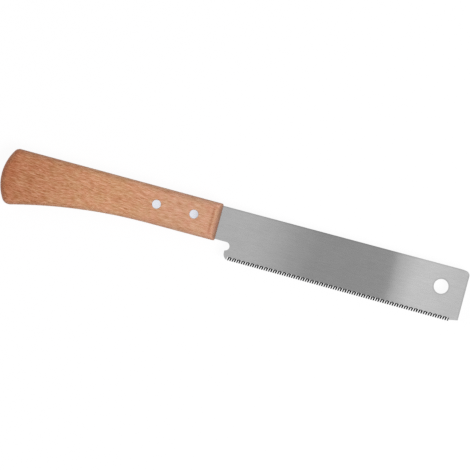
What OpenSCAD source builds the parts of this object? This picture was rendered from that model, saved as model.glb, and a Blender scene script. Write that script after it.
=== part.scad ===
// Flush cut saw: a thin pull-stroke blade whose tang sits in a slot sawn into a
// one-piece wooden handle, held by two pressed rivets of two halves each.
// Sizes are in millimetres and angles in degrees. The saw lies on its side:
// +X runs from the butt of the handle to the tip of the blade, +Y from the teeth
// to the spine and +Z up. The origin is at the middle of its box, on the ground.

/* [Blade] */
// Length of blade that shows in front of the handle
blade_length = 160.4; // [120:0.1:220]
// Thickness of the steel
blade_thickness = 0.6; // [0.4:0.05:1.2]
// How much wider the blade is at its toe than at its heel
toe_widening = 1.1; // [0:0.1:3]
// Width of the neck, the narrow stretch that enters the handle
neck_width = 21.5; // [18:0.05:23]
// Length of the neck, from the handle to the heel
neck_length = 7.75; // [5:0.05:14]
// Radius of the round relief between the neck and the heel
relief_radius = 2.7; // [2:0.1:3.5]
// How far the relief cuts in behind the heel's edge
relief_depth = 2.5; // [1.5:0.1:3.4]
// Length of the heel's straight edge, between the relief and the rounded heel
heel_edge = 1.4; // [0.5:0.05:8]
// Radius that rounds the heel into the row of teeth
heel_radius = 4.5; // [2:0.1:8]
// Length of the plain toe, from the last tooth to the tip
toe_length = 5.7; // [4:0.1:14]
// How far the toe steps up behind the last tooth
toe_step = 0.8; // [0.2:0.1:1.5]
// How far the toe has lifted from the tooth line at the tip
toe_lift = 1.9; // [0.5:0.1:4]
// Length over which the spine falls away at the tip
tip_fall_length = 6; // [4.5:0.1:10]
// Radius of that fall
tip_fall_radius = 18; // [14:0.5:40]
// Radius of the tip's upper corner
tip_corner = 3; // [1:0.1:4]

/* [Teeth] */
// Distance between tooth points at the heel
heel_pitch = 1.465; // [1.2:0.005:2.5]
// Distance between tooth points at the toe, where the teeth are coarser
toe_pitch = 1.575; // [1.2:0.005:2.5]
// Depth of the shallower gullets, halfway through the steel
tooth_depth = 2.15; // [1.2:0.05:3]
// How much deeper every other gullet is, which sets the teeth in pairs
gullet_step = 0.45; // [0:0.05:1]
// Lean of the gullets, which points the teeth at the handle
tooth_lean = 11; // [5:1:30]
// Width of the teeth at their points
tooth_point = 0.65; // [0.1:0.05:0.8]
// Width of the gullets' flat floor
gullet_floor = 0.46; // [0.1:0.02:0.6]
// Angle of the bevels, which face the two sides in turn
bevel_angle = 5; // [0:1:25]
// Slope of the gullets' floors, which face the two sides in turn
gullet_slope = 49; // [0:1:50]
// Distance from the heel's edge to the first gullet
heel_land = 2.75; // [2:0.05:6]
// Distance from the last gullet to the tip
toe_land = 6.2; // [4:0.1:14]

/* [Hanging hole] */
// Diameter of the hole near the tip
hole_diameter = 9.3; // [5:0.1:12]
// Distance from the hole's centre to the tip
hole_setback = 15.55; // [10:0.05:24]
// Distance from the hole's centre to the spine
hole_drop = 13.7; // [10:0.1:18]

/* [Handle] */
// Length of the handle
handle_length = 139.4; // [120:0.1:170]
// Thickness of the handle
handle_thickness = 18; // [15:0.5:24]
// Wood above the spine at the front of the handle
wood_above = 1.15; // [0.5:0.05:4]
// Wood below the neck at the front of the handle
wood_below = 1.2; // [0.5:0.05:4]
// How far the top edge rises from the front to the butt
top_rise = 0.5; // [0:0.1:3]
// Distance from the front to where the underside starts to drop
flare_start = 43.7; // [30:0.1:70]
// How far the underside has dropped at the butt
butt_drop = 13.7; // [8:0.1:18]
// Radius of the rounded butt
butt_radius = 29.4; // [26:0.1:45]
// How far the butt's rearmost point lies above its middle
butt_point_rise = 1.5; // [0:0.1:4]
// Radius of the butt's upper corner, where it is left on the flat face
upper_face_corner = 1; // [0.3:0.1:4]
// Radius of the butt's lower corner, where it is left on the flat face
lower_face_corner = 2; // [0.3:0.1:6]
// Radius of the small corners at the front
front_corner = 1; // [0.5:0.1:2]
// Radius that rounds the long edges and the butt
edge_radius = 3.2; // [1:0.1:5]
// Radius that rounds the front end
front_radius = 5.6; // [2:0.1:7]

/* [Tang and slot] */
// Steel behind the centre of the rear rivet
tang_margin = 12; // [8:0.5:24]
// Radius of the tang's rear corners
tang_corner = 4; // [1:0.5:8]
// Depth of slot left free behind the tang
slot_end_gap = 0.8; // [0.2:0.1:3]
// Clearance between the steel and each side of the slot
slot_fit = 0.05; // [0.02:0.01:0.15]

/* [Rivets] */
// Distance from the front of the handle to the front rivet
rivet_setback = 16.5; // [12:0.1:24]
// Distance between the two rivets
rivet_spacing = 24.2; // [16:0.1:34]
// Distance from the spine down to the rivets
rivet_drop = 9.9; // [7:0.1:13]
// Diameter of the post half's shank
rivet_shank = 2.6; // [1.6:0.1:4]
// Wall of the socket half's barrel
barrel_wall = 0.68; // [0.4:0.01:1.2]
// How far the rivet heads reach out past the barrel
rivet_flange = 0.8; // [0.4:0.05:2]
// Height of the rivet heads, and depth of their seats
rivet_head_height = 1.5; // [1:0.1:3]
// Height of the crown on the rivet heads
rivet_crown = 0.25; // [0.1:0.05:0.6]
// Space left between the barrel's end and the opposite head
barrel_end_gap = 1; // [0.5:0.1:3]
// Metal left between the socket's bore and its head
socket_floor = 1; // [0.5:0.1:3]
// Air left between the end of the shank and the end of its bore
shank_end_gap = 0.6; // [0.3:0.1:2]
// Clearance round the barrels and heads
rivet_fit = 0.05; // [0.02:0.01:0.15]
// Clearance round the shanks
shank_fit = 0.02; // [0.01:0.01:0.05]

/* [Hidden] */
$fn = 96;

// How far cutting shapes run past the faces that they cut
overrun = 1;
// Steps that an arc of an outline is divided into
arc_steps = 8;
long_arc_steps = 18;
// Steps of the rounding from the handle's side to its face
round_steps = 6;

// The saw's parts are laid out from the front of the handle, on the spine and
// halfway through the steel, and are moved to the origin at the end.
half_thickness = handle_thickness / 2;
underside = -(neck_width + wood_below);
rivet_places = [-rivet_setback, -rivet_setback - rivet_spacing];
tang_length = rivet_setback + rivet_spacing + tang_margin;
slot_length = tang_length + slot_end_gap;
slot_width = blade_thickness + 2 * slot_fit;
shank_bore = rivet_shank + 2 * shank_fit;
rivet_barrel = shank_bore + 2 * barrel_wall;
barrel_bore = rivet_barrel + 2 * rivet_fit;
rivet_head = rivet_barrel + 2 * rivet_flange;
head_bore = rivet_head + 2 * rivet_fit;
butt_upper_corner = edge_radius + upper_face_corner;
butt_lower_corner = edge_radius + lower_face_corner;

// Points of an arc about a centre, from one angle to another. An arc that goes on
// from the one before it leaves out its first point.
function arc(centre, radius, from, to, steps = arc_steps, first = 0) = [
    for (i = [first:steps])
        let (a = from + (to - from) * i / steps)
        centre + radius * [cos(a), sin(a)]
];

// Angle of a vector
function heading(v) = atan2(v.y, v.x);

// The crossing of two circles that lies on the right of the way from the first
// centre to the second
function circle_crossing(c1, r1, c2, r2) =
    let (
        gap = norm(c2 - c1),
        ahead = (c2 - c1) / gap,
        along = (gap * gap + r1 * r1 - r2 * r2) / (2 * gap),
        aside = sqrt(r1 * r1 - along * along)
    )
    c1 + along * ahead + aside * [ahead.y, -ahead.x];

// Relief between neck and heel: an arc from the neck round to the heel's edge
relief_centre = [neck_length + relief_depth - relief_radius, -neck_width - relief_radius];
relief_end = -acos((neck_length - relief_centre.x) / relief_radius);
relief_bottom = relief_centre.y + relief_radius * sin(relief_end);

// Width of the blade at the heel, from the spine to the tooth points
heel_turn = 68;
heel_width = heel_edge + heel_radius * sin(heel_turn) - relief_bottom;

// Row of teeth: the points lie on a line that runs from the heel to the toe
first_gullet = neck_length + heel_land;
mean_pitch = (heel_pitch + toe_pitch) / 2;
gullet_count = floor((blade_length - toe_land - first_gullet) / mean_pitch) + 1;
pitch_step = (toe_pitch - heel_pitch) / (gullet_count - 1);
function pitch_at(i) = heel_pitch + i * pitch_step;
function gullet_place(i) = first_gullet + i * heel_pitch + i * (i - 1) / 2 * pitch_step;
toe_start = blade_length - toe_length;
tooth_line_angle = -atan(toe_widening / (toe_start - neck_length));
function tooth_line(x) = -heel_width + (x - neck_length) * tan(tooth_line_angle);
toe_level = tooth_line(toe_start);

// The rounded heel runs from its straight edge to the tooth line
heel_centre = [neck_length + heel_radius, relief_bottom - heel_edge];

// Upper corner of the tip: the spine's falling arc runs into a smaller one
fall_centre = [blade_length - tip_fall_length, -tip_fall_radius];
tip_centre = [
    blade_length - tip_corner,
    fall_centre.y + sqrt(
        pow(tip_fall_radius - tip_corner, 2) - pow(tip_fall_length - tip_corner, 2)
    )
];
tip_turn = heading(tip_centre - fall_centre);

blade_outline = concat(
    arc([-tang_length + tang_corner, -tang_corner], tang_corner, 90, 180),
    arc([-tang_length + tang_corner, tang_corner - neck_width], tang_corner, 180, 270),
    arc(relief_centre, relief_radius, 90, relief_end, long_arc_steps),
    arc(heel_centre, heel_radius, 180, 180 + heel_turn),
    [[toe_start, toe_level], [toe_start, toe_level + toe_step], [blade_length, toe_level + toe_lift]],
    arc(tip_centre, tip_corner, 0, tip_turn),
    arc(fall_centre, tip_fall_radius, tip_turn, 90, first = 1)
);

// Handle outline: a straight top, a rounded butt with two rounded corners, and
// an underside that drops in one long arc from a straight front stretch
top_tilt = atan(top_rise / handle_length);
top_ahead = [-cos(top_tilt), sin(top_tilt)];
top_inward = [-sin(top_tilt), -cos(top_tilt)];
top_front = [0, wood_above];
flare_run = handle_length - flare_start;
flare_radius = (flare_run * flare_run + butt_drop * butt_drop) / (2 * butt_drop);
flare_centre = [-flare_start, underside - flare_radius];
butt_middle = (wood_above + top_rise + underside - butt_drop) / 2;
butt_centre = [butt_radius - handle_length, butt_middle + butt_point_rise];

// Centre of the butt's upper corner, on the line that lies one corner radius
// inside the top edge, as far from the butt's centre as the two radii differ
upper_offset = top_front + butt_upper_corner * top_inward - butt_centre;
upper_along = upper_offset * top_ahead;
upper_reach = butt_radius - butt_upper_corner;
upper_centre = butt_centre + upper_offset + top_ahead * (
    sqrt(upper_along * upper_along - upper_offset * upper_offset + upper_reach * upper_reach)
    - upper_along
);
upper_turn = heading(upper_centre - butt_centre);

// Centre of the butt's lower corner, inside the butt's arc and outside the flare's
lower_centre = circle_crossing(
    butt_centre, butt_radius - butt_lower_corner,
    flare_centre, flare_radius + butt_lower_corner
);
lower_turn = heading(lower_centre - butt_centre) + 360;
lower_end = heading(flare_centre - lower_centre) + 360;
flare_turn = heading(lower_centre - flare_centre);

// Centre of a front corner's arc, for a long edge at a height and a front set back
function upper_front(inset, setback) =
    let (
        from_edge = inset + front_corner,
        run = (setback + front_corner + top_inward.x * from_edge) / cos(top_tilt)
    )
    top_front + from_edge * top_inward + run * top_ahead;
function lower_front(inset, setback) =
    [-setback - front_corner, underside + inset + front_corner];

// The outline with its long edges and butt moved in by an inset, and its front
// moved back by a setback
function handle_outline(inset, setback) = concat(
    arc(lower_front(inset, setback), front_corner, 270, 360),
    arc(upper_front(inset, setback), front_corner, 0, 90 - top_tilt),
    arc(upper_centre, butt_upper_corner - inset, 90 - top_tilt, upper_turn),
    arc(butt_centre, butt_radius - inset, upper_turn, lower_turn, long_arc_steps, first = 1),
    arc(lower_centre, butt_lower_corner - inset, lower_turn, lower_end, first = 1),
    arc(flare_centre, flare_radius + inset, flare_turn, 90, long_arc_steps, first = 1)
);

// Index of the outline's point where the top edge meets the butt's upper corner.
// The whole outline can be seen from there, the hollow of the flare too.
lookout = 2 * (arc_steps + 1);

// How far a rounded edge has drawn in at a height above the middle
function drawn_in(radius, height) =
    let (rise = max(0, height - (half_thickness - radius)))
    radius - sqrt(max(0, radius * radius - rise * rise));

// Heights of the handle's rings, from its middle up to its face
round_radius = max(edge_radius, front_radius);
ring_heights = [
    for (i = [0:round_steps])
        half_thickness - round_radius * (1 - sin(90 * i / round_steps))
];
all_heights = concat(
    [for (i = [round_steps:-1:0]) -ring_heights[i]],
    ring_heights
);

// Middle of the saw's box, from its own outlines
saw_points = concat(handle_outline(0, 0), blade_outline);
saw_middle = [
    (min([for (p = saw_points) p.x]) + max([for (p = saw_points) p.x])) / 2,
    (min([for (p = saw_points) p.y]) + max([for (p = saw_points) p.y])) / 2
];

// Moves a part from the layout's place to the part's own frame
module to_origin() {
    translate([-saw_middle.x, -saw_middle.y, half_thickness]) children();
}

// A solid skin through outlines of equal length, one for each height. Each flat
// end is a fan of triangles about the point with the given index.
module ring_solid(rings, heights, fan_point) {
    count = len(rings[0]);
    last = len(rings) - 1;
    points = [for (i = [0:last]) for (p = rings[i]) [p.x, p.y, heights[i]]];
    walls = [
        for (i = [0:last - 1]) for (j = [0:count - 1])
            let (
                a = i * count + j,
                b = i * count + (j + 1) % count,
                c = b + count,
                d = a + count
            )
            each [[c, b, a], [d, c, a]]
    ];
    top = last * count;
    ends = [
        for (j = [1:count - 2])
            let (
                a = fan_point,
                b = (fan_point + j) % count,
                c = (fan_point + j + 1) % count
            )
            each [[a, b, c], [top + c, top + b, top + a]]
    ];
    polyhedron(points, concat(walls, ends), convexity = 4);
}

// The handle's block, rounded all round, before it is slotted and drilled
module handle_block() {
    ring_solid(
        [
            for (z = all_heights)
                handle_outline(drawn_in(edge_radius, abs(z)), drawn_in(front_radius, abs(z)))
        ],
        all_heights,
        lookout
    );
}

// The kerf that takes the tang, open at the front, the top and the underside
module tang_slot() {
    low = underside - overrun;
    high = wood_above + top_rise + overrun;
    translate([-slot_length, low, -slot_width / 2])
        cube([slot_length + overrun, high - low, slot_width]);
}

// A hole through the handle with a seat for a rivet head at each face
module rivet_bore() {
    cylinder(d = barrel_bore, h = handle_thickness + 2 * overrun, center = true);
    for (side = [0, 1])
        mirror([0, 0, side])
            translate([0, 0, half_thickness - rivet_head_height])
                cylinder(d = head_bore, h = rivet_head_height + overrun);
}

module handle() {
    color("#c88f6c")
        to_origin()
            difference() {
                handle_block();
                tang_slot();
                for (x = rivet_places)
                    translate([x, -rivet_drop, 0]) rivet_bore();
            }
}

// A grinding wheel's path through the steel: a leaning notch that widens from its
// flat floor to the gap between two tooth points, turned so that its bevels and
// floor face one side. Its section is drawn square to the wheel's path.
module gullet(side, pitch, depth) {
    narrowing = cos(bevel_angle);
    flattening = cos(gullet_slope);
    floor_place = depth * tan(tooth_lean);
    opening = pitch - tooth_point;
    growth = (opening - gullet_floor) / 2 / depth;
    mouth = opening / 2 + growth * overrun;
    mouth_place = -overrun * tan(tooth_lean);
    path_length = (blade_thickness + 2 * (depth + overrun)) / flattening;
    rotate([side * gullet_slope, side * bevel_angle, 0])
        linear_extrude(height = path_length, center = true)
            polygon([
                [(mouth_place - mouth) * narrowing, -overrun * flattening],
                [(mouth_place + mouth) * narrowing, -overrun * flattening],
                [(floor_place + gullet_floor / 2) * narrowing, depth * flattening],
                [(floor_place - gullet_floor / 2) * narrowing, depth * flattening]
            ]);
}

module saw_blade() {
    color("#b4b4b4")
        to_origin()
            difference() {
                linear_extrude(height = blade_thickness, center = true) polygon(blade_outline);
                for (i = [0:gullet_count - 1])
                    let (x = gullet_place(i), deep = i % 2 == 0)
                    translate([x, tooth_line(x), 0])
                        rotate(tooth_line_angle)
                            gullet(
                                deep ? 1 : -1,
                                pitch_at(i),
                                deep ? tooth_depth + gullet_step : tooth_depth
                            );
                translate([blade_length - hole_setback, -hole_drop, 0])
                    cylinder(d = hole_diameter, h = blade_thickness + 2 * overrun, center = true);
                for (x = rivet_places)
                    translate([x, -rivet_drop, 0])
                        cylinder(d = barrel_bore, h = blade_thickness + 2 * overrun, center = true);
            }
}

// A crowned rivet head that fills its seat, with the crown's top level with the wood
module rivet_head_disc() {
    radius = rivet_head / 2;
    crown_radius = (radius * radius + rivet_crown * rivet_crown) / (2 * rivet_crown);
    rotate_extrude()
        intersection() {
            translate([0, half_thickness - rivet_head_height]) square([radius, rivet_head_height]);
            translate([0, half_thickness - crown_radius]) circle(r = crown_radius);
        }
}

// Heights along a rivet, from the steel's middle, with the socket's head on top
head_seat = half_thickness - rivet_head_height;
barrel_end = barrel_end_gap - head_seat;
bore_end = head_seat - socket_floor;

// Upper half of a rivet: a head on a barrel that is bored from below
module rivet_socket(x) {
    color("#d6dfea")
        to_origin()
            translate([x, -rivet_drop, 0])
                difference() {
                    union() {
                        rivet_head_disc();
                        translate([0, 0, barrel_end])
                            cylinder(d = rivet_barrel, h = head_seat - barrel_end);
                    }
                    translate([0, 0, barrel_end - overrun])
                        cylinder(d = shank_bore, h = bore_end - barrel_end + overrun);
                }
}

// Lower half of a rivet: a head on a shank that is pressed into the barrel
module rivet_post(x) {
    color("#d6dfea")
        to_origin()
            translate([x, -rivet_drop, 0]) {
                mirror([0, 0, 1]) rivet_head_disc();
                translate([0, 0, -head_seat])
                    cylinder(d = rivet_shank, h = bore_end - shank_end_gap + head_seat);
            }
}

module front_rivet_socket() { rivet_socket(rivet_places[0]); }
module front_rivet_post() { rivet_post(rivet_places[0]); }
module rear_rivet_socket() { rivet_socket(rivet_places[1]); }
module rear_rivet_post() { rivet_post(rivet_places[1]); }

handle();
saw_blade();
front_rivet_socket();
front_rivet_post();
rear_rivet_socket();
rear_rivet_post();
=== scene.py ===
"""Looks of a flush cut saw that lies on its side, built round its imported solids.

The beech handle is a new smooth skin in place of its faceted solid. The blade and the rivet halves
keep their solids and get procedural finishes. Lengths are in metres, in the part's frame: +X runs from
the butt of the handle to the tip of the blade, +Y from the teeth to the spine and +Z up.
"""
import logging
import math
from dataclasses import dataclass, field
from enum import Enum

import bpy
import numpy as np
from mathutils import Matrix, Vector


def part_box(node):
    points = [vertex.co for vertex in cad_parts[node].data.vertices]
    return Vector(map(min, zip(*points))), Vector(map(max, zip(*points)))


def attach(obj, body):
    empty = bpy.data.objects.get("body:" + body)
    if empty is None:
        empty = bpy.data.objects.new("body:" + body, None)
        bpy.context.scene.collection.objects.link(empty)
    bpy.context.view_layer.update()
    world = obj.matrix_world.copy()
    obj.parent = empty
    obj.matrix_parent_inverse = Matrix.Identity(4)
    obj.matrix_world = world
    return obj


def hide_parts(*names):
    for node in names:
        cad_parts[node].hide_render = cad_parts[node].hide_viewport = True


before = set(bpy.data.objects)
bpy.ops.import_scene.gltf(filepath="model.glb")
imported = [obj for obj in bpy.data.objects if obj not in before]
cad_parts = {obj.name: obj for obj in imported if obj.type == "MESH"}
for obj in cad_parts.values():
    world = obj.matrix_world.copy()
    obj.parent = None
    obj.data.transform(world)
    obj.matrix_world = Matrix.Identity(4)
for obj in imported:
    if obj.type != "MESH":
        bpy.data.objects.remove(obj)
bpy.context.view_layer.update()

MM = 0.001
BODY = "root"
LOG = logging.getLogger("saw")

Colour = tuple[float, float, float]
Range = tuple[float, float]
Size = tuple[float, float]
Source = bpy.types.NodeSocket | float | tuple[float, ...]

WHITE: Colour = (1.0, 1.0, 1.0)
RISING: Range = (0.0, 1.0)
FALLING: Range = (1.0, 0.0)
# Most of the values of the patches and of the streaks lie within these.
PATCH_RANGE: Range = (0.3, 0.7)
STREAK_RANGE: Range = (0.25, 0.75)
# Sockets of the Mix node for two colours and their mixture.
FIRST_COLOUR = 6
SECOND_COLOUR = 7
MIXED_COLOUR = 2


class Solid(Enum):
    """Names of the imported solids."""

    HANDLE = "handle"
    BLADE = "saw_blade"
    FRONT_SOCKET = "front_rivet_socket"
    FRONT_POST = "front_rivet_post"
    REAR_SOCKET = "rear_rivet_socket"
    REAR_POST = "rear_rivet_post"

    @property
    def box(self) -> tuple[Vector, Vector]:
        """Lowest and highest corner of the solid."""
        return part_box(self.value)

    @property
    def centre(self) -> Vector:
        """Middle of the solid's box."""
        low, high = self.box
        return (low + high) / 2


class Ease(Enum):
    """How a value passes from one level to another."""

    LINEAR = "LINEAR"
    SMOOTH = "SMOOTHSTEP"


@dataclass
class Graph:
    """A shader node tree, with short ways to add its nodes and link them."""

    tree: bpy.types.NodeTree

    def add(self, kind: str, *sources: Source | None, **settings: object) -> bpy.types.Node:
        """Adds a node.

        Args:
            kind: Blender's name of the node, without its ShaderNode prefix.
            sources: what feeds the inputs, in their order; None leaves one as it is.
            settings: properties of the node.

        Returns:
            The new node.
        """
        node = self.tree.nodes.new("ShaderNode" + kind)
        for name, value in settings.items():
            setattr(node, name, value)
        for socket, source in zip(node.inputs, sources):
            self.feed(socket, source)
        return node

    def feed(self, socket: bpy.types.NodeSocket, source: Source | None) -> None:
        """Links a source to a socket, or sets the socket where the source is a plain value.

        Args:
            socket: the input that is fed.
            source: what feeds it; None leaves it as it is.
        """
        if isinstance(source, bpy.types.NodeSocket):
            self.tree.links.new(source, socket)
        elif source is not None:
            socket.default_value = source

    def math(self, operation: str, *sources: Source) -> bpy.types.NodeSocket:
        """Returns the result of one arithmetic step."""
        return self.add("Math", *sources, operation=operation).outputs[0]

    def vector(self, operation: str, *sources: Source) -> bpy.types.NodeSocket:
        """Returns the vector result of one step of vector arithmetic."""
        return self.add("VectorMath", *sources, operation=operation).outputs[0]

    def split(self, vector: Source) -> list[bpy.types.NodeSocket]:
        """Returns the three components of a vector."""
        return list(self.add("SeparateXYZ", vector).outputs)

    def join(self, x: Source, y: Source, z: Source) -> bpy.types.NodeSocket:
        """Returns a vector made of three components."""
        return self.add("CombineXYZ", x, y, z).outputs[0]

    def spread(
        self, value: Source, within: Range, to: Range = RISING, ease: Ease = Ease.SMOOTH
    ) -> bpy.types.NodeSocket:
        """Carries a value from one range to another and holds it there.

        Args:
            value: what is carried.
            within: start and end of its range.
            to: result at and before the start, and at and past the end.
            ease: how the result passes from one to the other.

        Returns:
            The carried value.
        """
        return self.add("MapRange", value, *within, *to, interpolation_type=ease.value).outputs[0]

    def blend(
        self, share: Source, first: Source, second: Source, mode: str = "MIX"
    ) -> bpy.types.NodeSocket:
        """Mixes two colours.

        Args:
            share: how much of the second colour there is, from 0 to 1.
            first: colour at a share of 0.
            second: colour at a share of 1, or what the first is multiplied by.
            mode: how the two are mixed.

        Returns:
            The mixed colour.
        """
        node = self.add("Mix", data_type="RGBA", blend_type=mode)
        self.feed(node.inputs[0], share)
        self.feed(node.inputs[FIRST_COLOUR], opaque(first))
        self.feed(node.inputs[SECOND_COLOUR], opaque(second))
        return node.outputs[MIXED_COLOUR]

    def grey(self, value: Source) -> bpy.types.NodeSocket:
        """Returns a grey of one value."""
        return self.join(value, value, value)

    def bump(self, height: Source, strength: float, depth: float) -> bpy.types.NodeSocket:
        """Tilts the surface's direction by a relief.

        Args:
            height: height of the relief, as a share of its depth.
            strength: how much of the relief shows.
            depth: its real depth.

        Returns:
            The tilted direction.
        """
        node = self.add("Bump", strength, depth)
        self.feed(node.inputs["Height"], height)
        return node.outputs[0]

    def from_axis(self, place: Source, centre: Vector) -> bpy.types.NodeSocket:
        """Measures how far a place is from an upright axis.

        Args:
            place: place on the piece.
            centre: a point of the axis.

        Returns:
            The distance.
        """
        flat = self.vector("MULTIPLY", place, (1.0, 1.0, 0.0))
        foot = (centre.x, centre.y, 0.0)
        return self.add("VectorMath", flat, foot, operation="DISTANCE").outputs["Value"]

    def noise(self, vector: Source, scale: float, detail: float) -> bpy.types.NodeSocket:
        """Returns cloudy noise from 0 to 1, with a number of finer layers."""
        return self.add("TexNoise", vector, None, scale, detail).outputs[0]

    def group(self, tree: bpy.types.NodeTree, *sources: Source) -> bpy.types.NodeSocket:
        """Places a node group.

        Args:
            tree: the group.
            sources: what feeds its inputs, in their order.

        Returns:
            The group's output.
        """
        node = self.add("Group", node_tree=tree)
        for socket, source in zip(node.inputs, sources):
            self.feed(socket, source)
        return node.outputs[0]

    def places(self) -> bpy.types.NodeSocket:
        """Returns the place on the piece, in metres in the part's frame."""
        return self.add("TexCoord").outputs["Object"]


def opaque(source: Source) -> Source:
    """Adds the fourth part that a colour socket wants to a plain colour."""
    return (*source, 1.0) if isinstance(source, tuple) else source


def new_group(name: str, inputs: dict[str, str]) -> tuple[Graph, bpy.types.Node, bpy.types.NodeSocket]:
    """Starts a shader node group with one output.

    Args:
        name: name of the group.
        inputs: kind of each input socket, by its name.

    Returns:
        The group's graph, its input node and the socket of its output node.
    """
    tree = bpy.data.node_groups.new(name, "ShaderNodeTree")
    for label, kind in inputs.items():
        tree.interface.new_socket(name=label, in_out="INPUT", socket_type="NodeSocket" + kind)
    tree.interface.new_socket(name="Value", in_out="OUTPUT", socket_type="NodeSocketFloat")
    entry = tree.nodes.new("NodeGroupInput")
    result = tree.nodes.new("NodeGroupOutput")
    return Graph(tree), entry, result.inputs[0]


@dataclass
class Effects:
    """Node groups that more than one finish uses."""

    streaks: bpy.types.NodeTree = field(init=False)
    patches: bpy.types.NodeTree = field(init=False)

    def __post_init__(self) -> None:
        """Builds the groups."""
        self.streaks = self.build_streaks()
        self.patches = self.build_patches()

    @staticmethod
    def build_streaks() -> bpy.types.NodeTree:
        """Builds long thin marks along X.

        The place is divided by the marks' length and width, so that cloudy noise is drawn out along X.

        Returns:
            A group that takes a place, a length and a width, and gives a value from 0 to 1.
        """
        inputs = {"Place": "Vector", "Length": "Float", "Width": "Float"}
        graph, entry, result = new_group("streaks", inputs)
        size = graph.join(entry.outputs[1], entry.outputs[2], entry.outputs[2])
        drawn_out = graph.vector("DIVIDE", entry.outputs[0], size)
        graph.feed(result, graph.noise(drawn_out, scale=1.0, detail=3.0))
        return graph.tree

    @staticmethod
    def build_patches() -> bpy.types.NodeTree:
        """Builds soft uneven patches of one size.

        Returns:
            A group that takes a place and a size, and gives a value from 0 to 1.
        """
        graph, entry, result = new_group("patches", {"Place": "Vector", "Size": "Float"})
        size = graph.join(entry.outputs[1], entry.outputs[1], entry.outputs[1])
        scaled = graph.vector("DIVIDE", entry.outputs[0], size)
        graph.feed(result, graph.noise(scaled, scale=1.0, detail=2.0))
        return graph.tree


def new_material(name: str) -> tuple[Graph, bpy.types.Node]:
    """Starts a material with one Principled shader.

    Args:
        name: name of the material.

    Returns:
        The material's graph and its shader node.
    """
    material = bpy.data.materials.new(name)
    material.use_nodes = True
    material.node_tree.nodes.clear()
    graph = Graph(material.node_tree)
    shader = graph.add("BsdfPrincipled")
    graph.add("OutputMaterial", shader.outputs[0])
    return graph, shader


def material_of(graph: Graph) -> bpy.types.Material:
    """Returns the material that a graph belongs to."""
    return next(m for m in bpy.data.materials if m.node_tree == graph.tree)


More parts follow.
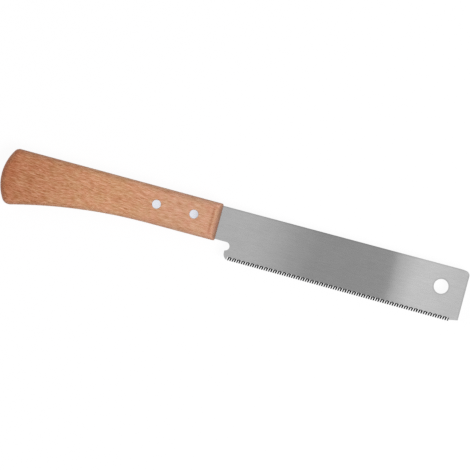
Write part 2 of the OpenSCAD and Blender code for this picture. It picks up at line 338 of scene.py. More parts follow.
@dataclass(frozen=True)
class Beech:
    """Oiled beech with short streaks, ray flecks and two ring lines, deeper in colour at its ends: at the
    butt in its own colour, at the front partly as end grain and partly as painted shade. A line of painted
    shade runs along the front's crease.
    """

    effects: Effects
    butt: float
    front: float
    crease: float
    end_colour: Colour = (0.434, 0.154, 0.068)
    butt_colour: Colour = (0.474, 0.199, 0.1)
    middle_colour: Colour = (0.606, 0.31, 0.172)
    front_colour: Colour = (0.605, 0.321, 0.206)
    dark_tint: Colour = (0.79, 0.65, 0.5)
    pale_tint: Colour = (1.16, 1.28, 1.43)
    fleck_tint: Colour = (0.7, 0.54, 0.42)
    rosy_tint: Colour = (1.02, 0.975, 0.97)
    honey_tint: Colour = (0.98, 1.02, 0.95)
    ring_dark_tint: Colour = (0.9, 0.86, 0.82)
    ring_pale_tint: Colour = (1.1, 1.14, 1.18)
    # Darkens the front end face, partly as end grain and partly as painted shade.
    end_grain_and_shade_tint: Colour = (0.62, 0.585, 0.59)
    # Painted shade along the front's crease.
    crease_shade_tint: Colour = (0.77, 0.63, 0.57)
    end_zone: float = 11 * MM
    front_zone: float = 22 * MM
    end_grain_and_shade_turn: Range = (0.42, 0.95)
    front_strength: float = 0.5
    fall: float = 0.03
    ring_fall: float = 0.355
    ring_levels: tuple[float, float] = (26.55 * MM, 40.9 * MM)
    ring_starts: tuple[float, float] = (46 * MM, 72 * MM)
    ring_ends: tuple[float, float] = (84 * MM, 102 * MM)
    ring_fade: float = 8 * MM
    ring_flank: float = 1.5 * MM
    ring_shares: tuple[float, float] = (1.0, 0.7)
    sway: float = 2.0 * MM
    sway_length: float = 22 * MM
    band_size: Size = (42 * MM, 3.4 * MM)
    band_range: Range = (-0.2, 1.2)
    streak_size: Size = (5.6 * MM, 0.6 * MM)
    streak_range: Range = (0.37, 0.63)
    fibre_size: Size = (2.8 * MM, 0.34 * MM)
    fibre_range: Range = (0.35, 0.65)
    fleck_size: tuple[float, float, float] = (4.6 * MM, 0.7 * MM, 4.6 * MM)
    fleck_core: Range = (0.12, 0.42)
    fleck_depth: Range = (0.1, 1.0)
    blush_size: float = 5 * MM
    blush_range: Range = (0.35, 0.65)
    # Width, facing turn, patch size and least strength of the painted shade along the front's crease.
    crease_shade_width: float = 1.5 * MM
    crease_shade_turn: Range = (0.9, 0.96)
    crease_shade_patch: float = 3 * MM
    crease_shade_least: float = 0.6
    roughness: Range = (0.56, 0.45)
    gloss: float = 0.35
    relief: float = 0.25
    relief_depth: float = 0.05 * MM
    fleck_relief: float = 0.6

    def material(self) -> bpy.types.Material:
        """Builds the finish.

        Streaks of three sizes, the ray flecks and the ring lines multiply the wood's own colour by darker
        and paler tints. The front end face is darker, partly as end grain and partly as painted shade, and a
        line of painted shade runs along the front's crease.

        Returns:
            The new material.
        """
        graph, shader = new_material("oiled_beech")
        place = graph.places()
        facing = graph.split(graph.add("TexCoord").outputs["Normal"])
        grain = self.grain_place(graph, place)
        fibres = graph.group(self.effects.streaks, grain, *self.fibre_size)
        flecks = self.flecks(graph, grain)
        colour = self.streaked_colour(graph, place, grain, fibres)
        colour = graph.blend(flecks, colour, self.fleck_tint, "MULTIPLY")
        tint = graph.blend(self.rings(graph, place), self.ring_dark_tint, self.ring_pale_tint)
        colour = graph.blend(1.0, colour, tint, "MULTIPLY")
        # Painted shade: faces that point to the front are darkened, partly as the front's darker end grain
        # and partly standing in for the shade on the front end.
        front_end_and_shade = graph.spread(facing[0], self.end_grain_and_shade_turn)
        colour = graph.blend(front_end_and_shade, colour, self.end_grain_and_shade_tint, "MULTIPLY")
        # Painted shade along the front's crease.
        crease_shade = self.crease_shade(graph, place, facing[2])
        colour = graph.blend(crease_shade, colour, self.crease_shade_tint, "MULTIPLY")
        graph.feed(shader.inputs["Base Color"], colour)
        rough = graph.spread(fibres, PATCH_RANGE, self.roughness, Ease.LINEAR)
        graph.feed(shader.inputs["Roughness"], rough)
        shader.inputs["Specular IOR Level"].default_value = self.gloss
        height = graph.math("SUBTRACT", fibres, graph.math("MULTIPLY", flecks, self.fleck_relief))
        graph.feed(shader.inputs["Normal"], graph.bump(height, self.relief, self.relief_depth))
        return material_of(graph)

    def streaked_colour(
        self, graph: Graph, place: Source, grain: Source, fibres: Source
    ) -> bpy.types.NodeSocket:
        """Works out the wood's colour with its blush and its streaks, which weaken towards the front.

        Args:
            graph: the material's graph.
            place: place on the piece.
            grain: place along, across and through the grain.
            fibres: the finest streaks.

        Returns:
            The colour.
        """
        along = graph.split(place)[0]
        blush = graph.spread(graph.group(self.effects.patches, grain, self.blush_size), self.blush_range)
        tint = graph.blend(blush, self.rosy_tint, self.honey_tint)
        colour = graph.blend(1.0, self.ground_colour(graph, along), tint, "MULTIPLY")
        strength = graph.spread(along, (self.butt, self.front), (1.0, self.front_strength))
        bands = graph.group(self.effects.streaks, grain, *self.band_size)
        streaks = graph.group(self.effects.streaks, grain, *self.streak_size)
        marks = ((bands, self.band_range), (streaks, self.streak_range), (fibres, self.fibre_range))
        for value, within in marks:
            share = graph.spread(value, within, RISING, Ease.LINEAR)
            tint = graph.blend(share, self.dark_tint, self.pale_tint)
            colour = graph.blend(strength, colour, tint, "MULTIPLY")
        return colour

    def grain_place(self, graph: Graph, place: Source) -> bpy.types.NodeSocket:
        """Bends the place to the grain: its height across is Y plus the fall times X, swayed by soft noise.

        Args:
            graph: the material's graph.
            place: place on the piece.

        Returns:
            The place along, across and through the grain.
        """
        x, y, z = graph.split(place)
        level = graph.math("MULTIPLY_ADD", x, self.fall, y)
        soft = graph.noise(place, scale=1 / self.sway_length, detail=1.0)
        shift = graph.math("MULTIPLY_ADD", soft, 2 * self.sway, -self.sway)
        return graph.join(x, graph.math("ADD", level, shift), z)

    def rings(self, graph: Graph, place: Source) -> bpy.types.NodeSocket:
        """Works out the lines of two growth rings, which fall across the grain and fade at their ends.

        The level of a ring is Y plus its own steeper fall times the distance from the butt. Away from that
        level the value sinks from the pale line to the dark flank, and climbs again to the plain wood.

        Args:
            graph: the material's graph.
            place: place on the piece.

        Returns:
            A value of 1 on a line, 0 on its flanks and one half on plain wood.
        """
        x, y, _ = graph.split(place)
        along = graph.math("SUBTRACT", x, self.butt)
        patches = graph.group(self.effects.patches, place, self.blush_size)
        straight = graph.math("MULTIPLY_ADD", along, self.ring_fall, y)
        level = graph.math("MULTIPLY_ADD", patches, self.ring_flank, straight)
        total = 0.5
        rings = zip(self.ring_levels, self.ring_starts, self.ring_ends, self.ring_shares)
        for height, start, end, share in rings:
            gap = graph.math("ABSOLUTE", graph.math("SUBTRACT", level, height))
            line = graph.spread(gap, (0.0, self.ring_flank), (share / 2, -share / 2))
            climb = graph.spread(gap, (self.ring_flank, 2 * self.ring_flank), (0.0, share / 2))
            rise = graph.spread(along, (start, start + self.ring_fade))
            fade = graph.spread(along, (end - self.ring_fade, end), FALLING)
            swing = graph.math("MULTIPLY", graph.math("ADD", line, climb), rise)
            total = graph.math("MULTIPLY_ADD", swing, fade, total)
        return total

    def flecks(self, graph: Graph, grain: Source) -> bpy.types.NodeSocket:
        """Marks the ray flecks: the cores of long random cells, each as dark as its own random number.

        Args:
            graph: the material's graph.
            grain: place along, across and through the grain.

        Returns:
            A mask from 0 to 1.
        """
        cells = graph.add("TexVoronoi", graph.vector("DIVIDE", grain, self.fleck_size))
        cells.inputs["Scale"].default_value = 1.0
        core = graph.spread(cells.outputs["Distance"], self.fleck_core, FALLING)
        chance = graph.split(cells.outputs["Color"])[0]
        depth = graph.spread(chance, self.fleck_depth, RISING, Ease.LINEAR)
        return graph.math("MULTIPLY", core, depth)

    def crease_shade(self, graph: Graph, place: Source, facing_up: Source) -> bpy.types.NodeSocket:
        """Marks the uneven line of painted shade along the front's crease on the two flat faces.

        Args:
            graph: the material's graph.
            place: place on the piece.
            facing_up: upright part of the surface's direction.

        Returns:
            A mask from 0 to 1.
        """
        gap = graph.math("ABSOLUTE", graph.math("SUBTRACT", graph.split(place)[0], self.crease))
        line = graph.spread(gap, (0.0, self.crease_shade_width), FALLING)
        flat = graph.spread(graph.math("ABSOLUTE", facing_up), self.crease_shade_turn)
        patches = graph.group(self.effects.patches, place, self.crease_shade_patch)
        uneven = graph.spread(patches, PATCH_RANGE, (self.crease_shade_least, 1.0))
        return graph.math("MULTIPLY", graph.math("MULTIPLY", line, flat), uneven)

    def ground_colour(self, graph: Graph, along: Source) -> bpy.types.NodeSocket:
        """Works out the wood's own colour, which pales from the butt to the front.

        Args:
            graph: the material's graph.
            along: place along the handle.

        Returns:
            The colour.
        """
        middle = (self.butt + self.front) / 2
        end = graph.spread(along, (self.butt, self.butt + self.end_zone), FALLING)
        rear = graph.spread(along, (self.butt, middle))
        fore = graph.spread(along, (middle, self.front - self.front_zone))
        colour = graph.blend(rear, self.butt_colour, self.middle_colour)
        colour = graph.blend(fore, colour, self.front_colour)
        return graph.blend(end, colour, self.end_colour)


@dataclass(frozen=True)
class BrushedSteel:
    """Satin steel brushed along the blade, with dark hardened teeth, painted shade on the bevels near the
    teeth and darker lines along cut edges.
    """

    effects: Effects
    spine: float
    tip: float
    hole: Vector
    hole_radius: float
    first_gullet: Vector
    last_tooth: float
    tooth_slope: float
    lean: float
    colour: Colour = (0.54, 0.54, 0.54)
    edge_tint: Colour = (0.86, 0.86, 0.86)
    # Dark of the hardened teeth and of the painted shade on the bevels.
    tooth_and_shade_colour: Colour = (0.012, 0.012, 0.013)
    tooth_zone: float = 2.12 * MM
    # Painted shade reaches this far from the tooth line on the bevels.
    bevel_shade_zone: float = 3.0 * MM
    zone_edge: float = 0.06 * MM
    bevel_shade_turn: Range = (0.9, 0.98)
    edge_line: Range = (0.48 * MM, 1.2 * MM)
    fine_marks: Size = (18 * MM, 0.12 * MM)
    broad_marks: Size = (5 * MM, 0.6 * MM)
    fine_swing: float = 0.035
    broad_swing: float = 0.05
    patch_size: float = 14 * MM
    patch_tone: Range = (0.975, 1.02)
    roughness: Range = (0.17, 0.23)
    tooth_roughness: float = 0.2
    anisotropy: float = 0.9
    relief: float = 0.06
    relief_depth: float = 0.01 * MM

    def material(self) -> bpy.types.Material:
        """Builds the finish.

        Fine streaks along X vary the tone, the gloss and the relief, and broader ones the tone alone. The
        reflection is drawn out across the brushing.

        Returns:
            The new material.
        """
        graph, shader = new_material("brushed_steel")
        place = graph.places()
        streaks = graph.group(self.effects.streaks, place, *self.fine_marks)
        broad = graph.group(self.effects.streaks, place, *self.broad_marks)
        patches = graph.group(self.effects.patches, place, self.patch_size)
        tone = graph.spread(patches, PATCH_RANGE, self.patch_tone, Ease.LINEAR)
        for marks, swing in ((streaks, self.fine_swing), (broad, self.broad_swing)):
            tone = graph.math("ADD", tone, graph.spread(marks, STREAK_RANGE, (-swing, swing), Ease.LINEAR))
        # Dark hardened teeth, with painted shade on the bevels near them.
        dark = self.dark_teeth(graph, place)
        colour = graph.blend(1.0, self.colour, graph.grey(tone), "MULTIPLY")
        colour = graph.blend(self.cut_edges(graph, place), colour, self.edge_tint, "MULTIPLY")
        colour = graph.blend(dark, colour, self.tooth_and_shade_colour)
        graph.feed(shader.inputs["Base Color"], colour)
        rough = graph.spread(streaks, STREAK_RANGE, self.roughness, Ease.LINEAR)
        rough = graph.math("MULTIPLY_ADD", dark, self.tooth_roughness, rough)
        graph.feed(shader.inputs["Roughness"], rough)
        shader.inputs["Metallic"].default_value = 1.0
        shader.inputs["Anisotropic"].default_value = self.anisotropy
        graph.feed(shader.inputs["Tangent"], graph.join(0.0, 1.0, 0.0))
        graph.feed(shader.inputs["Normal"], graph.bump(streaks, self.relief, self.relief_depth))
        return material_of(graph)

    def dark_teeth(self, graph: Graph, place: Source) -> bpy.types.NodeSocket:
        """Marks the teeth, from the first gullet to the last tooth, and painted shade on the bevels near
        them.

        The faces are dark near the tooth line, as hardened steel. The bevels are dark a little further in,
        and also outside the toothed stretch, as painted shade. The ends of the dark faces lean with the
        gullets.

        Args:
            graph: the material's graph.
            place: place on the piece.

        Returns:
            A mask from 0 to 1.
        """
        x, y, _ = graph.split(place)
        from_heel = graph.math("SUBTRACT", x, self.first_gullet.x)
        line = graph.math("MULTIPLY_ADD", from_heel, self.tooth_slope, self.first_gullet.y)
        height = graph.math("SUBTRACT", y, line)
        facing = graph.math("ABSOLUTE", graph.split(graph.add("TexCoord").outputs["Normal"])[2])
        # Painted shade: faces that don't face up are darkened further from the tooth line.
        bevel_shade = graph.spread(facing, self.bevel_shade_turn, FALLING)
        reach = graph.math("MULTIPLY_ADD", bevel_shade, self.bevel_shade_zone - self.tooth_zone, self.tooth_zone)
        zone = graph.spread(graph.math("SUBTRACT", reach, height), (-self.zone_edge, self.zone_edge))
        upright = graph.math("MULTIPLY_ADD", height, -math.tan(self.lean), x)
        behind = graph.spread(upright, (self.first_gullet.x, self.first_gullet.x + self.zone_edge))
        ahead = graph.spread(upright, (self.last_tooth - self.zone_edge, self.last_tooth), FALLING)
        toothed = graph.math("MAXIMUM", graph.math("MULTIPLY", behind, ahead), bevel_shade)
        return graph.math("MULTIPLY", zone, toothed)

    def cut_edges(self, graph: Graph, place: Source) -> bpy.types.NodeSocket:
        """Marks a thin line along the spine, the tip and the hanging hole.

        Args:
            graph: the material's graph.
            place: place on the piece.

        Returns:
            A mask from 0 to 1.
        """
        x, y, _ = graph.split(place)
        from_spine = graph.math("SUBTRACT", self.spine, y)
        from_tip = graph.math("SUBTRACT", self.tip, x)
        from_hole = graph.math("SUBTRACT", graph.from_axis(place, self.hole), self.hole_radius)
        inside = graph.math("MINIMUM", graph.math("MINIMUM", from_spine, from_tip), from_hole)
        return graph.spread(inside, self.edge_line, FALLING)


@dataclass(frozen=True)
class PressedAluminium:
    """Satin aluminium of the rivets, with fine scratches and a duller rim."""

    effects: Effects
    centres: tuple[Vector, Vector]
    head_radius: float
    colour: Colour = (0.775, 0.79, 0.85)
    rim_tint: Colour = (0.97, 0.97, 0.97)
    rim_start: float = 0.82
    scratch_size: Size = (1.5 * MM, 0.08 * MM)
    patch_size: float = 0.8 * MM
    patch_tone: Range = (0.96, 1.03)
    roughness: Range = (0.26, 0.4)
    relief: float = 0.08
    relief_depth: float = 0.01 * MM

    def material(self) -> bpy.types.Material:
        """Builds the finish.

        The distance to the nearer rivet's axis darkens the rim, and short scratches vary the gloss.

        Returns:
            The new material.
        """
        graph, shader = new_material("pressed_aluminium")
        place = graph.places()
        scratches = graph.group(self.effects.streaks, place, *self.scratch_size)
        patches = graph.group(self.effects.patches, place, self.patch_size)
        from_axis = graph.math("MINIMUM", *(graph.from_axis(place, centre) for centre in self.centres))
        rim = graph.spread(from_axis, (self.rim_start * self.head_radius, self.head_radius))
        tone = graph.spread(patches, PATCH_RANGE, self.patch_tone, Ease.LINEAR)
        colour = graph.blend(1.0, self.colour, graph.grey(tone), "MULTIPLY")
        graph.feed(shader.inputs["Base Color"], graph.blend(rim, colour, self.rim_tint, "MULTIPLY"))
        rough = graph.spread(scratches, STREAK_RANGE, self.roughness, Ease.LINEAR)
        graph.feed(shader.inputs["Roughness"], rough)
        shader.inputs["Metallic"].default_value = 1.0
        graph.feed(shader.inputs["Normal"], graph.bump(scratches, self.relief, self.relief_depth))
        return material_of(graph)


def arc(centre: np.ndarray, radius: np.ndarray, start: float, stop: float, count: int) -> np.ndarray:
    """Points at even angles along an arc, on every ring.

    Each point is the centre plus the radius along its angle's direction.

    Args:
        centre: the arc's centre on each ring, rings by 2.
        radius: the arc's radius on each ring.
        start: first angle, in radians.
        stop: last angle, in radians.
        count: number of points.

    Returns:
        An array of rings by points by 2.
    """
    angles = np.linspace(start, stop, count)
    directions = np.stack((np.cos(angles), np.sin(angles)), axis=-1)
    return centre[:, None, :] + radius[:, None, None] * directions


def span(first: np.ndarray, last: np.ndarray, count: int) -> np.ndarray:
    """Points at even steps between two points of every ring, without the two.

    Args:
        first: point on each ring where the straight stretch starts, rings by 2.
        last: point on each ring where it ends.
        count: number of points.

    Returns:
        An array of rings by points by 2.
    """
    share = np.linspace(0.0, 1.0, count + 2)[1:-1, None]
    return first[:, None, :] * (1 - share) + last[:, None, :] * share


def heading(vector: np.ndarray) -> float:
    """Returns the angle of a vector in the plane, in radians."""
    return math.atan2(vector[1], vector[0])


def tube_faces(rings: int, points: int) -> np.ndarray:
    """Quads of a closed tube whose vertices are numbered ring by ring, facing outwards on rising rings.

    Args:
        rings: number of rings.
        points: number of points of a ring, which runs anticlockwise seen from above.

    Returns:
        An array of quads by 4.
    """
    ring, point = np.meshgrid(np.arange(rings - 1), np.arange(points), indexing="ij")
    near = ring * points + point
    beside = ring * points + (point + 1) % points
    return np.stack((near, beside, beside + points, near + points), axis=-1).reshape(-1, 4)


def capped_tube(name: str, places: np.ndarray) -> bpy.types.Object:
    """Makes a closed object from rising rings of points, with a flat face at each end.

    Args:
        name: name of the object.
        places: an array of rings by points by 3.

    Returns:
        The new object, linked to the scene.
    """
    rings, points, _ = places.shape
    floor = np.arange(points)[::-1]
    top = np.arange(points) + (rings - 1) * points
    faces = [*tube_faces(rings, points).tolist(), floor.tolist(), top.tolist()]
    mesh = bpy.data.meshes.new(name)
    mesh.from_pydata(places.reshape(-1, 3).tolist(), [], faces)
    mesh.update()
    made = bpy.data.objects.new(name, mesh)
    bpy.context.scene.collection.objects.link(made)
    return made


def box_rings(low: Vector, high: Vector) -> np.ndarray:
    """Works out the two square rings of a box: its floor and its top.

    Args:
        low: lowest corner of the box.
        high: highest corner.

    Returns:
        An array of rings by points by 3.
    """
    plan = np.array([(low.x, low.y), (high.x, low.y), (high.x, high.y), (low.x, high.y)])
    floor = np.column_stack((plan, np.full(len(plan), low.z)))
    top = np.column_stack((plan, np.full(len(plan), high.z)))
    return np.stack((floor, top))


def turned_rings(centre: Vector, profile: np.ndarray, points: int) -> np.ndarray:
    """Turns a profile about an upright axis: each radius carried round a full circle at its own height.

    Args:
        centre: a point of the axis.
        profile: radius and height of each ring, from the lowest up.
        points: number of points of a ring.

    Returns:
        An array of rings by points by 3.
    """
    angles = np.arange(points) * math.tau / points
    around = np.stack((np.cos(angles), np.sin(angles), np.zeros(points)), axis=-1)
    upright = np.array([0.0, 0.0, 1.0])
    base = np.array([centre.x, centre.y, 0.0])
    return base + profile[:, None, :1] * around + profile[:, None, 1:] * upright


@dataclass(frozen=True)
class Rounding:
    """A rounded edge: an arc that stands upright at the side and meets the flat face at a faint crease."""

    setback: float
    crease: float

    @property
    def radius(self) -> float:
        """Radius of the arc: its setback on the face over one less the sine of the crease."""
        return self.setback / (1 - math.sin(self.crease))

    @property
    def rise(self) -> float:
        """Height of the arc."""
        return self.radius * math.cos(self.crease)

    def heights(self, count: int) -> np.ndarray:
        """Returns heights below the face at even steps of angle, from the foot of the arc up."""
        turn = np.linspace(0.0, math.pi / 2 - self.crease, count + 1)
        return self.radius * np.sin(turn) - self.rise

    def drawn_in(self, below: np.ndarray) -> np.ndarray:
        """Works out how far the arc has drawn in: r less the root of r squared less h squared.

        Args:
            below: heights below the face, as negative numbers.

        Returns:
            The distance drawn in at each height.
        """
        height = np.clip(below + self.rise, 0.0, self.rise)
        return self.radius - np.sqrt(self.radius**2 - height**2)


@dataclass
class Handle:
    """The one-piece handle: a straight top, a rounded butt, and an underside that drops in one long arc.

    Its long edges and butt are rounded over, and its front more widely, each from a faint crease on the
    flat face. A slot sawn into the front takes the tang, and each rivet head has a seat with a broken rim.
    """

    effects: Effects
    wood_above: float = 1.15 * MM
    top_rise: float = 0.5 * MM
    front_depth: float = 22.7 * MM
    flare_start: float = 43.7 * MM
    butt_drop: float = 13.7 * MM
    butt_radius: float = 29.4 * MM
    butt_point_rise: float = 1.5 * MM
    upper_corner: float = 4.2 * MM
    lower_corner: float = 5.2 * MM
    front_corner: float = 1.0 * MM
    edge: Rounding = Rounding(3.5 * MM, math.radians(20))
    nose: Rounding = Rounding(4.8 * MM, math.radians(12))
    slot_gap: float = 0.8 * MM
    slot_width: float = 0.7 * MM
    bore_radius: float = 2.05 * MM
    seat_radius: float = 2.85 * MM
    seat_depth: float = 1.5 * MM
    rim_break: float = 0.12 * MM
    face_margin: float = 0.4 * MM
    skin_allowance: float = 0.02 * MM
    round_steps: int = 14
    height_digits: int = 7
    front_corner_points: int = 13
    front_points: int = 9
    top_points: int = 55
    upper_corner_points: int = 14
    butt_points: int = 46
    lower_corner_points: int = 20
    flare_points: int = 44
    underside_points: int = 19
    hole_points: int = 72
    sharp_angle: float = math.radians(10)

    def __post_init__(self) -> None:
        """Takes the handle's place from its solid and the blade's."""
        self.low, self.high = Solid.HANDLE.box
        tang, tip = Solid.BLADE.box
        self.spine = tip.y
        self.slot_end = tang.x - self.slot_gap
        self.middle = (self.low.z + self.high.z) / 2
        self.half = (self.high.z - self.low.z) / 2

    def build(self) -> bpy.types.Object:
        """Builds the handle and hides its solid.

        Returns:
            The finished piece.
        """
        piece = capped_tube("beech_handle", self.skin())
        cutters = [capped_tube("slot_cutter", self.slot())]
        for rivet in (Solid.FRONT_SOCKET, Solid.REAR_SOCKET):
            cutters.append(capped_tube("bore_cutter", self.bore(rivet.centre)))
        cut_away(piece, cutters)
        piece.data.shade_smooth()
        piece.data.set_sharp_from_angle(angle=self.sharp_angle)
        finish = Beech(self.effects, self.low.x, self.high.x, self.high.x - self.nose.setback)
        piece.data.materials.clear()
        piece.data.materials.append(finish.material())
        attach(piece, BODY)
        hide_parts(Solid.HANDLE.value)
        return piece

    def skin(self) -> np.ndarray:
        """Works out the rounded skin as rings from the lower face to the upper one.

        Every ring lies at a height where one of the two roundings has a step, and is drawn in by both of
        them at that height. The first and last rings lie on the flat faces, a little inside their edges.

        Returns:
            An array of rings by points by 3.
        """
        below = np.concatenate((self.edge.heights(self.round_steps), self.nose.heights(self.round_steps)))
        upper = self.half + np.unique(np.round(below, self.height_digits))
        heights = np.concatenate((-upper[::-1], upper))
        inset = self.edge.drawn_in(np.abs(heights) - self.half) + self.skin_allowance
        setback = self.nose.drawn_in(np.abs(heights) - self.half)
        heights = np.pad(heights, 1, mode="edge")
        inset = np.pad(inset, 1, constant_values=self.edge.setback + self.face_margin)
        setback = np.pad(setback, 1, constant_values=self.nose.setback + self.face_margin)
        plan = self.outline(inset, setback) + np.array([self.high.x, self.spine])
        level = np.broadcast_to((self.middle + heights)[:, None, None], (*plan.shape[:2], 1))
        return np.concatenate((plan, level), axis=-1)

    def outline(self, inset: np.ndarray, setback: np.ndarray) -> np.ndarray:
        """Works out the outline on every ring, anticlockwise, from the front of the handle and the spine.

        The butt's arc, the flare's arc and the two corners between them are tangent to each other, so an
        inset only changes their radii. The front's corners move with the insets of the edges and the front.

        Args:
            inset: how far the long edges and the butt have moved in, on each ring.
            setback: how far the front has moved back, on each ring.

        Returns:
            An array of rings by points by 2.
        """
        length = self.high.x - self.low.x
        underside = -self.front_depth
        tilt = math.atan(self.top_rise / length)
        back = np.array([-math.cos(tilt), math.sin(tilt)])
        inward = np.array([-math.sin(tilt), -math.cos(tilt)])
        top_front = np.array([0.0, self.wood_above])
        run = length - self.flare_start
        flare_radius = (run**2 + self.butt_drop**2) / (2 * self.butt_drop)
        flare = np.array([-self.flare_start, underside - flare_radius])
        butt_middle = (self.wood_above + self.top_rise + underside - self.butt_drop) / 2
        butt = np.array([self.butt_radius - length, butt_middle + self.butt_point_rise])
        offset = top_front + self.upper_corner * inward - butt
        along = offset @ back
        reach = self.butt_radius - self.upper_corner
        upper = butt + offset + back * (math.sqrt(along**2 - offset @ offset + reach**2) - along)
        lower = circle_crossing(
            butt, self.butt_radius - self.lower_corner, flare, flare_radius + self.lower_corner
        )
        upper_turn = heading(upper - butt)
        lower_turn = heading(lower - butt) + math.tau
        lower_end = heading(flare - lower) + math.tau
        top_turn = math.pi / 2 - tilt
        edge = inset + self.front_corner
        corner = np.full_like(inset, self.front_corner)
        step = (setback + self.front_corner + inward[0] * edge) / math.cos(tilt)
        fore_upper = top_front + edge[:, None] * inward + step[:, None] * back
        fore_lower = np.stack((-setback - self.front_corner, underside + edge), axis=-1)

        def fixed(centre: np.ndarray) -> np.ndarray:
            """Returns one centre for every ring."""
            return np.broadcast_to(centre, (len(inset), 2))

        lower_front = arc(fore_lower, corner, -math.pi / 2, 0.0, self.front_corner_points)
        upper_front = arc(fore_upper, corner, 0.0, top_turn, self.front_corner_points)
        upper_radius = self.upper_corner - inset
        upper_butt = arc(fixed(upper), upper_radius, top_turn, upper_turn, self.upper_corner_points)
        butt_arc = arc(fixed(butt), self.butt_radius - inset, upper_turn, lower_turn, self.butt_points)
        lower_radius = self.lower_corner - inset
        lower_butt = arc(fixed(lower), lower_radius, lower_turn, lower_end, self.lower_corner_points)
        flare_turn = heading(lower - flare)
        flare_arc = arc(fixed(flare), flare_radius + inset, flare_turn, math.pi / 2, self.flare_points)
        return np.concatenate(
            (
                lower_front,
                span(lower_front[:, -1], upper_front[:, 0], self.front_points),
                upper_front,
                span(upper_front[:, -1], upper_butt[:, 0], self.top_points),
                upper_butt,
                butt_arc[:, 1:],
                lower_butt[:, 1:],
                flare_arc[:, 1:],
                span(flare_arc[:, -1], lower_front[:, 0], self.underside_points),
            ),
            axis=1,
        )

    def slot(self) -> np.ndarray:
        """Works out the block of air that the saw kerf leaves, open at the front, the top and the underside.

        Returns:
            An array of rings by points by 3.
        """
        past = 5 * MM
        low = Vector((self.slot_end, self.low.y - past, self.middle - self.slot_width / 2))
        high = Vector((self.high.x + past, self.high.y + past, self.middle + self.slot_width / 2))
        return box_rings(low, high)

    def bore(self, centre: Vector) -> np.ndarray:
        """Works out the air of one rivet hole: a bore and two seats, with a broken rim round each seat.

        Args:
            centre: a point of the hole's axis.

        Returns:
            An array of rings by points by 3.
        """
        past = 1 * MM
        upper = [
            (self.bore_radius, self.half - self.seat_depth),
            (self.seat_radius, self.half - self.seat_depth),
            (self.seat_radius, self.half - self.rim_break),
            (self.seat_radius + self.rim_break, self.half),
            (self.seat_radius + self.rim_break, self.half + past),
        ]
        lower = [(radius, -height) for radius, height in reversed(upper)]
        profile = np.array(lower + upper) + np.array([0.0, self.middle])
        return turned_rings(centre, profile, self.hole_points)


def circle_crossing(first: np.ndarray, reach: float, second: np.ndarray, other_reach: float) -> np.ndarray:
    """Finds where two circles cross, on the right of the way from the first centre to the second.

    Args:
        first: centre of the first circle.
        reach: its radius.
        second: centre of the second circle.
        other_reach: its radius.

    Returns:
        The crossing point.
    """
    gap = np.linalg.norm(second - first)
    ahead = (second - first) / gap
    along = (gap**2 + reach**2 - other_reach**2) / (2 * gap)
    aside = math.sqrt(reach**2 - along**2)
    return first + along * ahead + aside * np.array([ahead[1], -ahead[0]])


def cut_away(piece: bpy.types.Object, cutters: list[bpy.types.Object]) -> None:
    """Cuts shapes out of a piece's mesh and removes them.

    Args:
        piece: the piece that is cut.
        cutters: the shapes to cut out.
    """
    for cutter in cutters:
        step = piece.modifiers.new(cutter.name, "BOOLEAN")
        step.operation = "DIFFERENCE"
        step.solver = "EXACT"
        step.object = cutter
    bpy.context.view_layer.update()
    whole = piece.data
    seen = piece.evaluated_get(bpy.context.evaluated_depsgraph_get())
    piece.data = bpy.data.meshes.new_from_object(seen)
    piece.modifiers.clear()
    bpy.data.meshes.remove(whole)
    for cutter in cutters:
        bpy.data.meshes.remove(cutter.data)
    piece.data.name = piece.name


@dataclass
class Blade:
    """The blade, which keeps its solid: straight spine, fine teeth, hanging hole and plain toe."""

    effects: Effects
    heel_width: float = 32.465 * MM
    toe_widening: float = 1.1 * MM
    neck_length: float = 7.75 * MM
    toe_length: float = 5.7 * MM
    first_gullet: float = 2.75 * MM
    last_tooth: float = 6.05 * MM
    tooth_lean: float = math.radians(11)
    hole_setback: float = 15.55 * MM
    hole_drop: float = 13.7 * MM
    hole_radius: float = 4.65 * MM

    def dress(self) -> bpy.types.Object:
        """Gives the blade's solid its finish.

        Returns:
            The solid's object.
        """
        _, high = Solid.BLADE.box
        heel = Solid.HANDLE.box[1].x + self.neck_length
        slope = -self.toe_widening / (high.x - self.toe_length - heel)
        tooth_line = high.y - self.heel_width + slope * self.first_gullet
        finish = BrushedSteel(
            self.effects,
            spine=high.y,
            tip=high.x,
            hole=Vector((high.x - self.hole_setback, high.y - self.hole_drop, 0.0)),
            hole_radius=self.hole_radius,
            first_gullet=Vector((heel + self.first_gullet, tooth_line, 0.0)),
            last_tooth=high.x - self.last_tooth,
            tooth_slope=slope,
            lean=self.tooth_lean,
        )
        return dress_solid(Solid.BLADE, finish.material())


@dataclass
class Rivets:
    """The two pressed rivets, each of a socket half and a post half, which keep their solids."""

    effects: Effects

    def dress(self) -> list[bpy.types.Object]:
        """Gives the four halves one finish.

        Returns:
            The halves' objects.
        """
        low, high = Solid.FRONT_SOCKET.box
        finish = PressedAluminium(
            self.effects,
            centres=(Solid.FRONT_SOCKET.centre, Solid.REAR_SOCKET.centre),
            head_radius=(high.x - low.x) / 2,
        ).material()
        halves = (Solid.FRONT_SOCKET, Solid.FRONT_POST, Solid.REAR_SOCKET, Solid.REAR_POST)
        return [dress_solid(half, finish) for half in halves]


def dress_solid(solid: Solid, material: bpy.types.Material) -> bpy.types.Object:
    """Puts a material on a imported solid.

    Args:
        solid: the solid.
        material: its finish.

    Returns:
        The solid's object.
    """
    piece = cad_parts[solid.value]
    piece.data.materials.clear()
    piece.data.materials.append(material)
    return piece


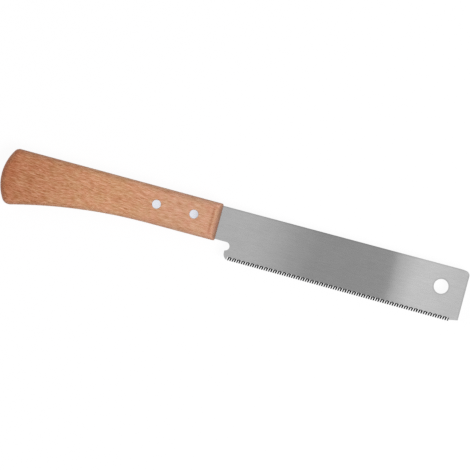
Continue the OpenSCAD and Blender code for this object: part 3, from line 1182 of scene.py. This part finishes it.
@dataclass(frozen=True)
class Softbox:
    """A large square lamp, with angles in degrees, that faces the saw and stays out of its reflections."""

    name: str
    azimuth: float
    elevation: float
    distance: float
    size: float
    power: float

    def build(self) -> None:
        """Makes the lamp, with its azimuth turned from +X towards +Y."""
        data = bpy.data.lights.new(self.name, "AREA")
        data.size = self.size
        data.energy = self.power
        turn, lift = math.radians(self.azimuth), math.radians(self.elevation)
        out = Vector((math.cos(turn) * math.cos(lift), math.sin(turn) * math.cos(lift), math.sin(lift)))
        lamp = bpy.data.objects.new(self.name, data)
        lamp.location = out * self.distance
        lamp.rotation_euler = out.to_track_quat("Z", "Y").to_euler()
        lamp.visible_glossy = False
        bpy.context.scene.collection.objects.link(lamp)


@dataclass
class Studio:
    """White floor and surroundings, two softboxes, a grey card over the blade and the camera.

    The card's places are along X, and its greys are those at these places.
    """

    picture_turn: float = math.radians(14.925)
    picture_centre: tuple[float, float, float] = (1.21 * MM, 0.193 * MM, 9.0 * MM)
    picture_width: float = 294.7 * MM
    lens: float = 400.0
    ambient: float = 0.36
    floor_size: float = 60.0
    floor_glow: float = 0.93
    floor_shown: float = 0.98
    floor_bounce: float = 0.55
    floor_roughness: float = 0.9
    card_height: float = 0.09
    card_start: float = -15.5 * MM
    card_pale: float = 7.8 * MM
    card_dim: float = 58 * MM
    card_step: float = 105.5 * MM
    card_white: float = 119.5 * MM
    card_fall: float = 131 * MM
    card_end: float = 155 * MM
    card_half_width: float = 0.2
    card_light: float = 0.77
    card_dark: float = 0.485
    card_past: float = 0.7
    card_tip: float = 0.905
    softboxes: tuple[Softbox, ...] = (
        Softbox("key_softbox", azimuth=-18, elevation=62, distance=1.6, size=0.8, power=17.0),
        Softbox("fill_softbox", azimuth=172, elevation=45, distance=1.8, size=1.0, power=7.0),
    )

    def build(self) -> None:
        """Builds the surroundings, the lamps and the camera."""
        self.build_world()
        self.build_floor()
        self.build_card()
        for softbox in self.softboxes:
            softbox.build()
        self.build_camera()
        scene = bpy.context.scene
        scene.view_settings.view_transform = "Standard"
        # Denoising blurs the fine teeth away, and this light leaves hardly any noise.
        scene.cycles.use_denoising = False

    @staticmethod
    def seen_share(graph: Graph) -> bpy.types.NodeSocket:
        """Tells the rays that show a thing from those that carry its light.

        Args:
            graph: the material's or the surroundings' graph.

        Returns:
            A value of 1 for rays from the camera, mirrors and glass, and 0 for all others.
        """
        path = graph.add("LightPath").outputs
        shown = graph.math("MAXIMUM", path["Is Camera Ray"], path["Is Glossy Ray"])
        return graph.math("MAXIMUM", shown, path["Is Transmission Ray"])

    def build_world(self) -> None:
        """Builds white surroundings that light the saw at a plain level."""
        world = bpy.data.worlds.new("white_surroundings")
        bpy.context.scene.world = world
        world.use_nodes = True
        world.node_tree.nodes.clear()
        graph = Graph(world.node_tree)
        light = graph.add("Background", opaque(WHITE), self.ambient)
        shown = graph.add("Background", opaque(WHITE), 1.0)
        mixed = graph.add("MixShader", self.seen_share(graph), light.outputs[0], shown.outputs[0])
        graph.add("OutputWorld", mixed.outputs[0])

    def build_floor(self) -> None:
        """Builds the floor: white to the eye, with a faint share of the saw's shadow, clear from below."""
        square = np.array([(-1.0, -1.0, 0.0), (1.0, -1.0, 0.0), (1.0, 1.0, 0.0), (-1.0, 1.0, 0.0)])
        floor = flat_piece("floor", square * self.floor_size / 2)
        graph, shader = new_material("white_floor")
        seen = self.seen_share(graph)
        grey = graph.spread(seen, RISING, (self.floor_bounce, self.floor_shown), Ease.LINEAR)
        graph.feed(shader.inputs["Base Color"], graph.grey(grey))
        shader.inputs["Roughness"].default_value = self.floor_roughness
        shader.inputs["Specular IOR Level"].default_value = 0.0
        glow = graph.add("Emission", opaque(WHITE), 1.0)
        share = graph.math("MULTIPLY", seen, self.floor_glow)
        lit = graph.add("MixShader", share, shader.outputs[0], glow.outputs[0])
        clear = graph.add("BsdfTransparent")
        behind = graph.add("NewGeometry").outputs["Backfacing"]
        both = graph.add("MixShader", behind, lit.outputs[0], clear.outputs[0])
        output = next(n for n in graph.tree.nodes if n.type == "OUTPUT_MATERIAL")
        graph.feed(output.inputs[0], both.outputs[0])
        floor.data.materials.append(material_of(graph))

    def build_card(self) -> None:
        """Builds the grey card that only reflections show.

        Its grey deepens from the handle to the middle of the blade, steps up and climbs to white past it,
        and sinks a little over the tip.
        """
        level = self.card_height
        half = self.card_half_width
        plan = np.array(
            [
                (self.card_start, half, level),
                (self.card_end, half, level),
                (self.card_end, -half, level),
                (self.card_start, -half, level),
            ]
        )
        card = flat_piece("grey_card", plan)
        graph, shader = new_material("grey_card")
        x = graph.split(graph.places())[0]
        grey = graph.spread(x, (self.card_pale, self.card_dim), (self.card_light, self.card_dark))
        past = graph.spread(x, (self.card_step, self.card_white), (self.card_past, 1.0), Ease.LINEAR)
        past = graph.math("MULTIPLY", past, graph.math("GREATER_THAN", x, self.card_step))
        tip = graph.spread(x, (self.card_fall, self.card_end), (1.0, self.card_tip), Ease.LINEAR)
        grey = graph.math("MAXIMUM", grey, graph.math("MULTIPLY", past, tip))
        graph.feed(shader.inputs["Emission Color"], graph.grey(grey))
        shader.inputs["Emission Strength"].default_value = 1.0
        shader.inputs["Base Color"].default_value = (0.0, 0.0, 0.0, 1.0)
        shader.inputs["Specular IOR Level"].default_value = 0.0
        card.data.materials.append(material_of(graph))
        card.visible_camera = False
        card.visible_diffuse = False
        card.visible_shadow = False

    def build_camera(self) -> None:
        """Builds the camera straight above the saw, turned so that the saw falls to the right."""
        data = bpy.data.cameras.new("camera")
        data.lens = self.lens
        camera = bpy.data.objects.new("camera", data)
        distance = self.picture_width * data.lens / data.sensor_width
        camera.location = Vector(self.picture_centre) + Vector((0.0, 0.0, distance))
        camera.rotation_euler = (0.0, 0.0, self.picture_turn)
        bpy.context.scene.collection.objects.link(camera)
        bpy.context.scene.camera = camera


def flat_piece(name: str, corners: np.ndarray) -> bpy.types.Object:
    """Makes an object of one flat face.

    Args:
        name: name of the object.
        corners: the face's corners, anticlockwise seen from its front.

    Returns:
        The new object, linked to the scene.
    """
    mesh = bpy.data.meshes.new(name)
    mesh.from_pydata(corners.tolist(), [], [list(range(len(corners)))])
    mesh.update()
    made = bpy.data.objects.new(name, mesh)
    bpy.context.scene.collection.objects.link(made)
    return made


def main() -> None:
    """Builds the saw's looks and the studio round it."""
    logging.basicConfig(level=logging.INFO, format="%(name)s: %(message)s")
    effects = Effects()
    handle = Handle(effects).build()
    LOG.info("%s: %d faces", handle.name, len(handle.data.polygons))
    blade = Blade(effects).dress()
    LOG.info("%s: %d faces", blade.name, len(blade.data.polygons))
    for half in Rivets(effects).dress():
        LOG.info("%s: %d faces", half.name, len(half.data.polygons))
    Studio().build()


if __name__ == "__main__":
    main()
